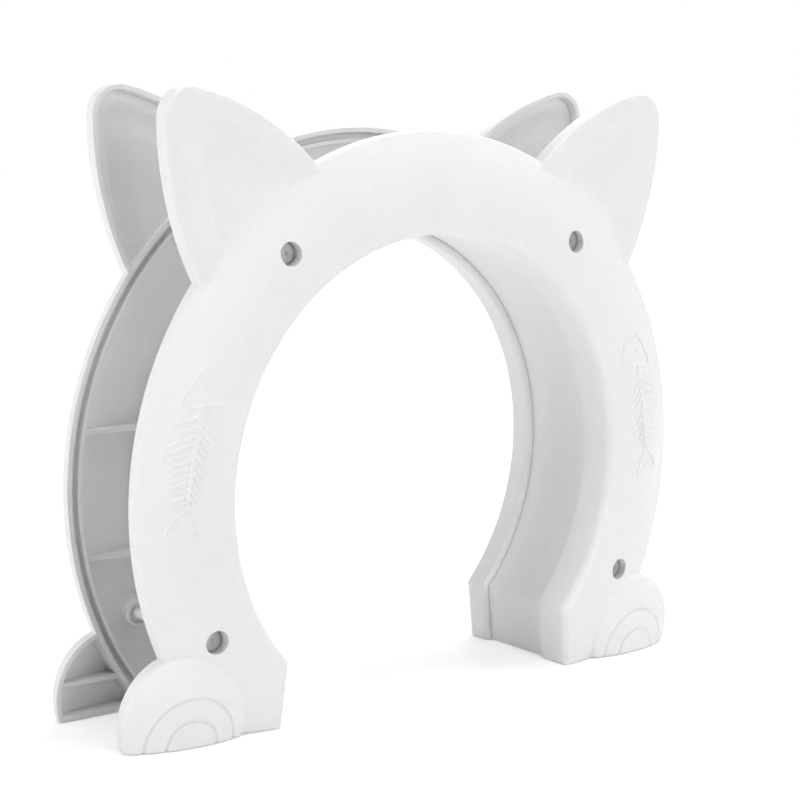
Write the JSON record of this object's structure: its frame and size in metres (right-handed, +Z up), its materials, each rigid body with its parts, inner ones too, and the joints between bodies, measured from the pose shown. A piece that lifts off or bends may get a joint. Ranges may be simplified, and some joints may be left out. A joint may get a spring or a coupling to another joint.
{
  "type": "cat door frame",
  "caption": "Open cat doorway for an interior door: cat-head half-frames with ears and paws, joined by a telescoping arched tunnel and screwed together through the door.",
  "frame": {"origin": "on the floor, midway between the outermost faces of the front and rear halves, in the middle of the opening", "axes": "+X across the door to the right as seen from the front, +Y through the door from front to rear, +Z up"},
  "size_m": [0.2658, 0.062, 0.2265],
  "materials": {
    "white_plastic": "satin moulded white",
    "zinc_steel": "bright zinc"
  },
  "bodies": {
    "front_half": {"front_frame": "white_plastic", "fixing_screws": "zinc_steel"},
    "rear_half": {"rear_frame": "white_plastic"}
  },
  "joints": [
    {"name": "tunnel_slide", "type": "slide", "parent": "front_half", "child": "rear_half", "axis": [0, 1, 0], "range_m": [0, 0.003]}
  ]
}
